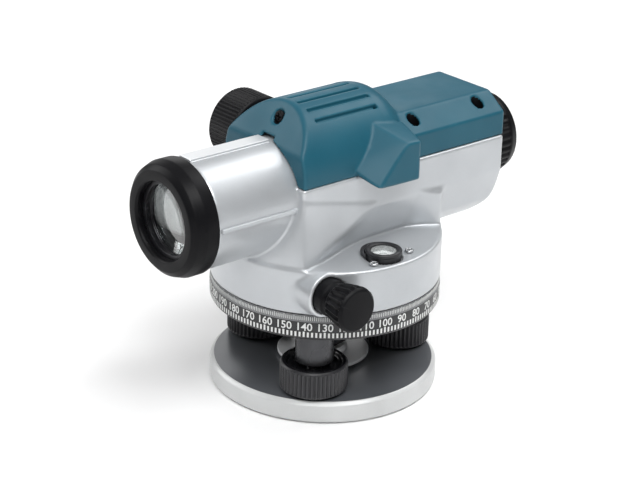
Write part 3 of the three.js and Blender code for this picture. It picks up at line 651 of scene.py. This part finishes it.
def housing():
    low, high = (-98, -DRUM_R, DRUM_BOTTOM), (BODY_REAR, DRUM_R, 148.5)
    piece = make("housing", *surface(housing_field, low, high, 1.0), PAINTS["silver_paint"], "alidade",
                 "silver_paint", ["main_housing"], 0)

    def in_tube(m, n):
        return m[0] < -2 and np.hypot(m[1], m[2] - OPTIC_Z) < TUBE_BORE_R + 0.6

    second_paint(piece, PAINTS["black_metal"], in_tube)


def sight_strip():
    """The flat raised strip along the top of the tube, with a step along each side."""
    top, half = TUBE_R + SIGHT_HIGH, 4.2
    section = [(-half - 0.5, TUBE_R - 0.6), (-half - 0.5, TUBE_R + 0.1), (-half, TUBE_R + 0.35),
               (-half, top - 0.35), (-half + 0.35, top)]
    section += [(-y, h) for y, h in section[::-1]]
    steps = [(-87.4, 0.4), (-86.9, 0.0), (-41.2, 0.0), (-40.9, 0.3)]
    points = [(x, y, OPTIC_Z + h - drop * (h > TUBE_R)) for x, drop in steps for y, h in section]
    n, last = len(section), len(steps) - 1
    faces = [[j * n + i, (j + 1) * n + i, (j + 1) * n + (i + 1) % n, j * n + (i + 1) % n]
             for j in range(last) for i in range(n)]
    faces += [list(range(n)), list(range(last * n + n - 1, last * n - 1, -1))]
    make("sight_strip", points, faces, PAINTS["silver_paint"], "alidade", "silver_paint", sharp=24)


def parting_ridges():
    """The raised line along each side of the tube. Its long faces are wound inwards."""
    half_section = [(0, -1.2), (1.0, -1.05), (1.2, -0.9), (1.25, -0.7)]
    section = half_section + [(u, -v) for u, v in half_section[::-1]]
    steps = [(-87.3, 0.3), (-86.6, 1.0), (-42.5, 1.0), (-41.2, 0.4)]
    n, last = len(section), len(steps) - 1
    faces = [[j * n + i, j * n + i + 1, (j + 1) * n + i + 1, (j + 1) * n + i]
             for j in range(last) for i in range(n - 1)]
    faces += [[j * n, (j + 1) * n, (j + 1) * n + n - 1, j * n + n - 1] for j in range(last)]
    faces += [list(range(n)), list(range(last * n + n - 1, last * n - 1, -1))]
    for side, name in ((-1, "left"), (1, "right")):
        points = [(x, side * (TUBE_R - 0.35 + grow * (u + 0.35)), OPTIC_Z + 0.4 + v * grow)
                  for x, grow in steps for u, v in section]
        make(f"parting_ridge_{name}", points, [face[::-side] for face in faces],
             PAINTS["silver_paint"], "alidade", "silver_paint", sharp=24)


# ---------- blue cover ----------
HOOD_FACE = np.array(
    [(7, -24, 141), (-10, -30.5, 122), (-4, HOOD_Y, 114.5), (13, HOOD_Y, 134)], float)


def hood_corners(shrink, depth):
    """The slanted face's corners, drawn towards its middle and moved into the hood."""
    inward = np.cross(HOOD_FACE[1] - HOOD_FACE[2], HOOD_FACE[3] - HOOD_FACE[2])
    inward *= np.sign(inward[0]) / np.linalg.norm(inward)
    middle = HOOD_FACE.mean(0)
    return [tuple(v + (middle - v) * shrink + inward * depth) for v in HOOD_FACE]


SKIN_Y = HOOD_Y + 2
HOOD_OUTER = planes_of(hood_corners(0, 0) + [
    (22, HOOD_Y, 114), (22, HOOD_Y, 134), (26, -24, 138), (26, -29, 114), (-8, -29, 119)])
HOOD_INNER = planes_of(hood_corners(0.08, 2.2) + [
    (30, SKIN_Y, 108), (30, SKIN_Y, 131.5), (30, -24, 134.5), (30, -24, 108),
    (4, SKIN_Y, 108), (-2, -24, 108)])


def cover_form(p, inset=0.0):
    """A barrel vault with a rounded rear end, and a faceted roof behind it."""
    x, y, z = p
    radius = BODY_HALF - inset
    front = BODY_FRONT + 0.5 + inset
    vault = np.hypot(y, np.maximum(z - DOME_Z, 0)) - radius
    vault = smooth_max(vault, slab(x, front, DOME_END), 1.2)
    ball = (np.sqrt(((x - DOME_END) / 0.66) ** 2 + y ** 2 + (z - DOME_Z) ** 2) - radius) * 0.8
    vault = smooth_min(vault, ball, 0.5)
    run, rise = EAVES_HALF - ROOF_HALF, ROOF_Z - EAVES_Z
    slope = (rise * (np.abs(y) - EAVES_HALF) + run * (z - EAVES_Z)) / hypot(run, rise) + inset
    roof = smooth_max(np.abs(y) - EAVES_HALF + inset, slope, 0.8)
    roof = smooth_max(roof, z - ROOF_Z + inset, 0.8)
    roof = smooth_max(roof, slab(x, 0, BODY_REAR - inset), 1.2)
    form = smooth_min(vault, roof, 1.2)
    lean = 0.8 * (front + LEAN * (z - LEAN_Z) - x)
    return smooth_max(form, np.where(z > LEAN_Z - 6, lean, -50), 1.5)


def groove(p, degrees):
    """One of the grooves along the top of the vault."""
    a = radians(degrees)
    y, z = p[1], p[2] - DOME_Z
    across, out = y * cos(a) + z * sin(a), z * cos(a) - y * sin(a)
    depths = (BODY_HALF - 1.9, BODY_HALF + 3)
    return block((p[0], across, out), (-24, 14.5), (-1.1, 1.1), depths, 0.3)


def cover_field(p):
    _, y, z = p
    open_below = np.where(y > -EAVES_HALF - 1.2, COVER_BOTTOM - z, -50)
    hood = smooth_max(polytope(p, HOOD_OUTER, 1.0), open_below, 0.5)
    outer = smooth_min(smooth_max(cover_form(p), COVER_BOTTOM - z, 0.5), hood, 0.8)
    cavity = smooth_max(polytope(p, HOOD_INNER, 0.8), y + EAVES_HALF + 0.2, 0.5)
    solid = carve(outer, cover_form(p, COVER_WALL), cavity)
    skin = cover_form(p, 0.5)
    for centre in COVER_SCREWS:
        post = smooth_max(disc(p, 2, centre, 5.4, COVER_BOTTOM, ROOF_Z), skin, 0.5)
        sunk = disc(p, 2, centre, COUNTERBORE_R, 126, 160, 0.2)
        solid = carve(smooth_min(solid, post, 0.6), sunk, disc(p, 2, centre, SCREW_BORE_R, 110, 130))
    centre = (0, FRONT_SCREW_Z)
    post = smooth_max(disc(p, 0, centre, 5.4, -35, -24.4), skin, 0.5)
    sunk = disc(p, 0, centre, COUNTERBORE_R, -60, -29.4, 0.2)
    solid = carve(smooth_min(solid, post, 0.6), sunk, disc(p, 0, centre, SCREW_BORE_R, -60, -20))
    tube_opening = along_tube(p, TUBE_R + 0.3, -60, -30)
    strip_notch = block(p, (-60, -25), (-4.6, 4.6), (OPTIC_Z, OPTIC_Z + TUBE_R + SIGHT_HIGH + 0.4))
    knob_opening = disc(p, 1, (PINION_Z, PINION_X), 6.4, 20, 60)
    solid = carve(solid, tube_opening, strip_notch, knob_opening, k=0.4)
    return carve(solid, *[groove(p, 8.5 - 14 * row) for row in range(-2, 3)], k=0.35)


def cover():
    low, high = (BODY_FRONT, HOOD_Y, 113), (BODY_REAR, BODY_HALF, 153)
    piece = make("cover", *surface(cover_field, low, high, 0.8), PAINTS["blue_plastic"], "alidade",
                 "blue_plastic", ["top_cover"], 0)

    def shaded_hole_wall(m, n):
        """The walls of the screw holes, a little below the cover's surface, which get black paint as painted
        shade.
        """
        x, y, z = m
        if x < -29.5 and np.hypot(y, z - FRONT_SCREW_Z) < COUNTERBORE_R + 0.3:
            return x > BODY_FRONT + 0.5 + LEAN * (z - LEAN_Z) + 1.2
        above = ROOF_Z - max(abs(y) - ROOF_HALF, 0) * 0.75 - z
        return above > 1.1 and min(hypot(x - a, y - b) for a, b in COVER_SCREWS) < COUNTERBORE_R + 0.2

    # Painted shade: the screw holes' walls below the surface are painted black so that the holes read dark.
    second_paint(piece, PAINTS["black_rubber"], shaded_hole_wall)


def screw_head(name, node, centre, axis, radius, low, high, shank, paint):
    """A pan-head screw with a crossed recess: head from low to high, stem from shank to low."""
    u, v = (axis + 1) % 3, (axis + 2) % 3
    place = (centre[u], centre[v])

    def field(p):
        head = disc(p, axis, place, radius, min(low, high), max(low, high), 0.5)
        stem = disc(p, axis, place, 1.5, min(shank, low), max(shank, low), 0.2)
        slots = []
        for long_axis, short_axis in ((u, v), (v, u)):
            cut = [None] * 3
            cut[axis] = (high - 1.1, high + 3) if high > low else (high - 3, high + 1.1)
            cut[long_axis] = (centre[long_axis] - 0.66 * radius, centre[long_axis] + 0.66 * radius)
            cut[short_axis] = (centre[short_axis] - 0.45, centre[short_axis] + 0.45)
            slots.append(block(p, *cut, 0.1))
        return carve(smooth_min(head, stem, 0.3), *slots, k=0.15)

    low_corner, high_corner = np.array(centre, float) - radius, np.array(centre, float) + radius
    low_corner[axis], high_corner[axis] = min(low, high, shank), max(low, high, shank)
    points, quads = surface(field, low_corner, high_corner, 0.25)
    make(name, points, quads, PAINTS[paint], "alidade", "steel", [node], 0)


def cover_screws():
    for i, (x, y) in enumerate(COVER_SCREWS, 1):
        screw_head(f"roof_screw_{i}", f"cover_screw_{i}", (x, y, 0), 2, 2.9, 126.3, 128.4, 112,
                   "black_rubber")
    # The front screw's head gets black rubber paint so that the front hole reads dark: painted shade.
    screw_head("front_screw", "cover_screw_front", (0, 0, FRONT_SCREW_Z), 0, 2.9, -29.7, -31.8, -20,
               "black_rubber")


# ---------- circular vial ----------
def vial_pocket_shade():
    """A black crescent between the vial and the body: painted shade of the pocket behind the vial."""
    top = DRUM_TOP + 2.4

    def field(p):
        pad = disc(p, 2, (VIAL_X + 1.2, VIAL_Y + 2.9), 10.2, DRUM_TOP + 0.05, top, 0.5)
        return carve(pad, disc(p, 2, (VIAL_X, VIAL_Y), 9.35, 70, 95, 0.1), k=0.3)

    low, high = (VIAL_X - 12, VIAL_Y - 9, DRUM_TOP), (VIAL_X + 13.5, VIAL_Y + 17, top)
    make("vial_pocket_shade", *surface(field, low, high, 0.4), PAINTS["black_plastic"], "alidade",
         "black_plastic", (), 0)


def vial():
    def turned(name, profile, segments, paint, slot, replaces=(), aside=(0, 0)):
        centre = (VIAL_X + aside[0], VIAL_Y + aside[1], 0)
        make(name, *lathe(profile, segments, centre=centre), PAINTS[paint], "alidade", slot, replaces)

    holder = soften([(6.5, 79.2), (8.6, 79.2), (8.6, 82.8), (9.1, 83.2), (9.1, 84.4), (8.3, 84.9),
                     (6.5, 84.3)], 0.35)
    turned("vial_holder", holder, 96, "black_plastic", "black_plastic", ["vial_ring"])
    crown = [(r, 54.4 + sqrt(900 - r * r)) for r in np.linspace(6.2, 0, 9)]
    turned("vial_window", [(0, 81.2), (6.2, 81.2), *crown], 96, "clear_cover", "glass", ["vial_glass"])
    well = soften([(0, 79.4), (6.3, 79.4), (6.3, 81.0), (0, 81.0)], 0.2)
    turned("vial_floor", well, 96, "vial_floor", "glass")
    mark = soften([(2.5, 81.02), (2.9, 81.02), (2.9, 81.14), (2.5, 81.14)], 0.05)
    turned("vial_mark", mark, 64, "black_plastic", "black_plastic")
    bubble = [(2.1 * sin(a), 82.9 + 0.55 * cos(a)) for a in np.linspace(pi, 0, 15)]
    bubble[0], bubble[-1] = (0, bubble[0][1]), (0, bubble[-1][1])
    turned("vial_bubble", bubble, 48, "clear_cover", "glass", aside=(0.4, 0.3))
    for name in ("left", "right"):
        x, y = sum(span(f"vial_screw_{name}"))[:2] / 2
        screw_head(f"vial_adjuster_{name}", f"vial_screw_{name}", (x, y, 0), 2, 2.2, 80.8, 82, 80.85,
                   "steel")
    vial_pocket_shade()


# ---------- telescope ----------
def ribs(count, depth, low, high, sharpness=1.5, beyond=0):
    """A radius that dips between ribs, fading out towards both ends of the grip.

    Points that are not beyond a radius stay as they are.
    """
    def shape(r, h, angle):
        if r <= beyond:
            return r
        fade = min(1.0, max(0.0, (h - low) / 0.6), max(0.0, (high - h) / 0.6))
        return r - depth * fade * (0.5 - 0.5 * cos(count * angle)) ** sharpness
    return shape


def stations(profile, low, high, step):
    """The profile with more points where it runs along the grip, so that ribs can fade."""
    made = []
    for here, after in zip(profile, profile[1:] + profile[:1]):
        made.append(here)
        inside = low - 1 < min(here[1], after[1]) and max(here[1], after[1]) < high + 1
        if inside and abs(after[1] - here[1]) > 3 * step:
            count = int(abs(after[1] - here[1]) / step)
            made += [here + (after - here) * t for t in np.linspace(0, 1, count + 1)[1:-1]]
    return made


def objective():
    axis = (0, 0, OPTIC_Z)
    outer = TUBE_R + 1.1
    hood = soften([
        (19.0, FRONT_X + 1.2), (19.8, FRONT_X), (24.4, FRONT_X), (27.0, FRONT_X + 2.4),
        (outer - 0.5, FRONT_X + 5.6), (outer, FRONT_X + 7), (outer, -88.3), (TUBE_R - 0.6, -88.3),
        (TUBE_R - 0.6, -98.3), (19.0, -98.3),
    ], 0.45)
    make("objective_hood", *lathe(hood, 192, "x", axis), PAINTS["black_rubber"], "alidade",
         "black_rubber", ["objective_ring"])
    baffle = [(18.6 - 0.35 * (i % 2), -95.0 + 0.42 * i) for i in range(7)]
    cell = [(17.2, -97.7), (TUBE_BORE_R - 0.3, -97.7), (TUBE_BORE_R - 0.3, -80), (18.7, -80),
            *baffle[::-1], (17.2, -95.3)]
    make("lens_cell", *lathe(soften(cell, 0.15), 160, "x", axis), PAINTS["black_metal"], "alidade",
         "black_metal", ["objective_cell"])

    for name, node, x, edge, front, rear in (
            ("front_lens", "objective_lens", -91.8, 2.4, 2.2, 1.2),
            ("second_lens", "objective_flint", -87.4, 3.2, -1.0, 0.6)):
        rows = np.linspace(0, 1, 12)
        face = [(18.3 * t, x - edge / 2 - front * (1 - t * t)) for t in rows]
        back = [(18.3 * t, x + edge / 2 + rear * (1 - t * t)) for t in rows[::-1]]
        make(name, *lathe(face + back, 128, "x", axis), PAINTS["coated_glass"], "alidade", "glass",
             [node])


def grip_profile(points, low, high):
    return stations(soften(points, 0.5), low, high, 0.5)


def focusing_knob():
    low, high, count = 33.2, 53.0, 58
    outline = grip_profile([
        (0, low), (17.2, low), (18.4, low + 1.1), (18.4, high - 1.2), (17.4, high - 0.2), (14.4, high),
        (14.0, high - 0.7), (0, high - 0.7),
    ], low, high)
    shape = ribs(count, 0.55, low + 1, high - 1)
    make("focus_grip", *lathe(outline, count * 8, "y", (PINION_X, 0, PINION_Z), shape=shape),
         PAINTS["black_rubber"], "focus", "black_rubber", ["focusing_knob"])


def eyepiece():
    axis, count = (0, 0, OPTIC_Z), 36
    outline = grip_profile([
        (17.0, 93.2), (21.5, 93.2), (22.1, 94.2), (22.1, 107.4), (20.8, 111.6), (17.4, REAR_X),
        (10.6, REAR_X), (9.4, 109.4), (17.0, 109.4),
    ], 94, 107.4)
    shape = ribs(count, 0.7, 95, 106.5, beyond=20)
    make("eye_grip", *lathe(outline, count * 8, "x", axis, shape=shape), PAINTS["black_rubber"],
         "eyepiece", "black_rubber", ["eyepiece_ring"])


# ---------- levelling base ----------
def base_plate():
    """The round plate, with the tripod screw's thread in its hole."""
    pitch = 2.309
    outline = soften([
        (PLATE_HOLE_R, 0), (PLATE_R - 0.9, 0), (PLATE_R, 1), (PLATE_R, PLATE_TOP - 1.8),
        (PLATE_R - 1.9, PLATE_TOP), (PLATE_HOLE_R, PLATE_TOP),
    ], 0.6)
    outline += [(PLATE_HOLE_R, h) for h in np.linspace(PLATE_TOP - 0.8, 0.8, 48)]

    def thread(r, h, angle):
        if r > PLATE_HOLE_R + 0.01:
            return r
        turn = (h / pitch - angle / (2 * pi)) % 1
        return r - 0.7 * (abs(turn - 0.5) - 0.25)

    plate = make("foot_plate", *lathe(outline, 256, shape=thread), PAINTS["white_paint"], "base",
                 "white_paint", ["base_plate"])

    def on_top(m, n):
        return n.z > 0.9 and np.hypot(m[0], m[1]) < PLATE_R - 2.2

    second_paint(plate, PAINTS["plate_paint"], on_top)


def spring_disc():
    outline = soften([(9, 12), (23.4, 12), (23.4, 13.8), (12.4, 13.8), (12, 17.5), (9, 17.5)], 0.5)
    make("spring_disc", *lathe(outline, 160), PAINTS["zinc"], "spring_plate", "steel",
         ["spring_plate"])


def levelling_screws():
    low, high, count = 12.4, 27.0, 46
    ball_z = PLATE_TOP - 4 + 0.3 + BALL_R
    cup_r, cup_bottom, thread_low, pitch = 15.8, high - 3.4, 21, 1.0
    outline = grip_profile([
        (3.9, low + 4.7), (5.1, low + 4.0), (5.1, low), (15.8, low), (16.9, low + 1.0),
        (16.9, high - 1.4), (15.9, high - 0.1), (14.2, high), (13.0, high - 2.6), (10.8, high - 3.0),
        (3.9, high - 3.0),
    ], low, high)
    shape = ribs(count, 0.75, low + 1, high - 1.2, 1.0, beyond=15)
    ball = [(BALL_R * sin(a), ball_z - BALL_R * cos(a)) for a in np.linspace(0, radians(130), 10)]
    stem = [(STEM_R, h) for h in np.arange(ball_z + 4, THREAD_TOP, 0.2)]
    screw = [*ball, *stem, (STEM_R - 1, STEM_TOP), (0, STEM_TOP)]

    def thread(r, h, angle):
        if abs(r - STEM_R) > 0.01 or h < thread_low:
            return r
        return r - 0.5 * abs(((h / pitch - angle / (2 * pi)) % 1) - 0.5)

    for i, (x, y) in enumerate(SCREWS, 1):
        def in_cup(m, n):
            return m[2] > cup_bottom and np.hypot(m[0] - x, m[1] - y) < cup_r

        grip = make(f"screw_grip_{i}", *lathe(outline, count * 8, centre=(x, y, 0), shape=shape),
                    PAINTS["black_plastic"], f"screw_{i}", "black_plastic", [f"levelling_knob_{i}"])
        second_paint(grip, PAINTS["black_gloss"], in_cup)
        make(f"screw_stem_{i}", *lathe(screw, 48, centre=(x, y, 0), shape=thread), PAINTS["steel"],
             f"screw_{i}", "steel", [f"levelling_screw_{i}"])


TRIBRACH_TOP = CIRCLE_BOTTOM + 10.5


def tribrach_field(p):
    """A hub that opens into a cone, with an arm and a boss for each levelling screw."""
    x, y, z = p
    radius = np.hypot(x, y)
    hub = smooth_max(disc(p, 2, (0, 0), 13, 20, TRIBRACH_TOP), radius - 16, 1)
    cone = smooth_max((radius - 16) * 0.35 - (z - 40), slab(z, 38, TRIBRACH_TOP), 0.8)
    cone = smooth_max(cone, radius - 49.9, 0.8)
    solid = smooth_min(hub, cone, 3.0)
    for a, b in SCREWS:
        length = hypot(a, b)
        along, across = (x * a + y * b) / length, (y * a - x * b) / length
        arm = block((along, across, z), (0, length), (-6, 6), (34, 46), 1.5)
        boss = disc(p, 2, (a, b), 9.5, 26.8, 46, 0.8)
        solid = smooth_min(smooth_min(solid, arm, 2.5), boss, 1.5)
    for a, b in SCREWS:
        solid = carve(solid, disc(p, 2, (a, b), 5.3, 20, 52.9, 0.3))
    return carve(solid, disc(p, 2, (0, 0), 8.3, 28, 80, 0.2))


def tribrach_casting():
    points, quads = surface(tribrach_field, (-52, -52, 20), (52, 52, TRIBRACH_TOP), 0.9)
    make("tribrach_casting", points, quads, PAINTS["casting_paint"], "tribrach", "black_metal",
         ["tribrach"], 0)


def wrapped(points, radius, angle):
    """Points of (along, up, out) bent round the circle, middle at an angle."""
    turn = angle + points[:, 0] / radius
    r = radius + points[:, 2]
    return np.stack([r * np.cos(turn), r * np.sin(turn), points[:, 1]], -1)


def numeral(text, height):
    """Points and faces of a number, centred along its line and 0.16 mm thick."""
    curve = bpy.data.curves.new("numeral", "FONT")
    curve.body = text
    curve.size = height / 0.7
    curve.align_x = "CENTER"
    curve.extrude = 0.08
    curve.resolution_u = 3
    curve.offset = 0.06
    holder = bpy.data.objects.new("numeral", curve)
    bpy.context.scene.collection.objects.link(holder)
    evaluated = holder.evaluated_get(bpy.context.evaluated_depsgraph_get())
    mesh = bpy.data.meshes.new_from_object(evaluated)
    points = np.array([v.co for v in mesh.vertices])
    faces = [list(f.vertices) for f in mesh.polygons]
    bpy.data.objects.remove(holder)
    bpy.data.curves.remove(curve)
    bpy.data.meshes.remove(mesh)
    return points, faces


def bar(width, low, high, out):
    """A mark between two heights, sunk 0.15 mm into the ring and standing out from it."""
    half = width / 2
    points = [(a, b, c) for c in (-0.15, out) for b in (low, high) for a in (-half, half)]
    faces = [(4, 5, 7, 6), (0, 2, 3, 1), (0, 1, 5, 4), (2, 6, 7, 3), (0, 4, 6, 2), (1, 3, 7, 5)]
    return np.array(points), faces


def circle():
    """The horizontal circle, with its degree numbers and two rows of marks."""
    wall_r, rim_r = CIRCLE_R - 0.1, 57.4
    outline = soften([
        (CIRCLE_BORE_R, 46.2), (55.5, CIRCLE_BOTTOM), (rim_r, CIRCLE_BOTTOM), (wall_r, 46.2),
        (wall_r, CIRCLE_WALL_TOP), (rim_r, CIRCLE_TOP), (CIRCLE_BORE_R, CIRCLE_TOP),
    ], 0.3)
    ring = make("circle_ring", *lathe(outline, 256), PAINTS["circle_black"], "circle", "circle_black",
                ["graduated_ring"])

    def on_bevel(m, n):
        return m[2] > CIRCLE_WALL_TOP + 0.1 and np.hypot(m[0], m[1]) > rim_r - 0.2

    second_paint(ring, PAINTS["bevel_paint"], on_bevel)
    points, faces = [], []

    def add(shape, radius, degrees):
        start = sum(len(rows) for rows in points)
        points.append(wrapped(shape[0], radius, radians(degrees)))
        faces.extend([[v + start for v in face] for face in shape[1]])

    for step in range(36):
        digits, digit_faces = numeral(str(step * 10), 3.9)
        digits[:, 1] += 49.9
        add((digits, digit_faces), wall_r, -10 * step)
    for step in range(180):
        add(bar(0.95, 46.5, 49.0 if step % 5 else 49.3, 0.06), wall_r, 2 * step)
    for step in range(360):
        add(bar(0.28, 54.7, 57.0 if step % 5 else rim_r, 0.1), 57.85, step)
    make("circle_marks", np.concatenate(points), faces, PAINTS["mark_paint"], "circle",
         "circle_black")


# ---------- horizontal drive ----------
def drive_knobs():
    tip = span("drive_knob_right")[1][1]
    centre = (DRIVE_X, 0, DRIVE_Z)
    collar = soften([
        (2.9, 27), (BUSH_R, 27), (BUSH_R, 50.6), (8.2, 51.2), (8.2, 53.5), (2.9, 53.5)], 0.4)
    outline = grip_profile([
        (2.9, 54.1), (9.2, 54.1), (9.9, 56.0), (11.3, tip - 4.6), (11.3, tip - 1.6), (9.9, tip),
        (0, tip), (0, tip - 4.8), (2.9, tip - 4.8),
    ], 54, tip - 2)
    shape = ribs(20, 1.25, 55.0, tip - 1.4, 0.8, beyond=8)
    for side, name in ((-1, "left"), (1, "right")):
        make(f"drive_collar_{name}", *lathe(collar, 96, "y", centre, side), PAINTS["black_rubber"],
             "alidade", "black_plastic", [f"drive_bush_{name}"])
        make(f"drive_grip_{name}", *lathe(outline, 192, "y", centre, side, shape),
             PAINTS["black_rubber"], "drive", "black_plastic", [f"drive_knob_{name}"])


camera()
studio()
floor()
for node in frame["record"]["subparts"]:
    cad = frame["nodes"][node["node"]]
    cad.data.materials.clear()
    cad.data.materials.append(PAINTS[node["material_slot"]])
housing()
sight_strip()
parting_ridges()
cover()
cover_screws()
vial()
objective()
focusing_knob()
eyepiece()
base_plate()
spring_disc()
levelling_screws()
tribrach_casting()
circle()
drive_knobs()
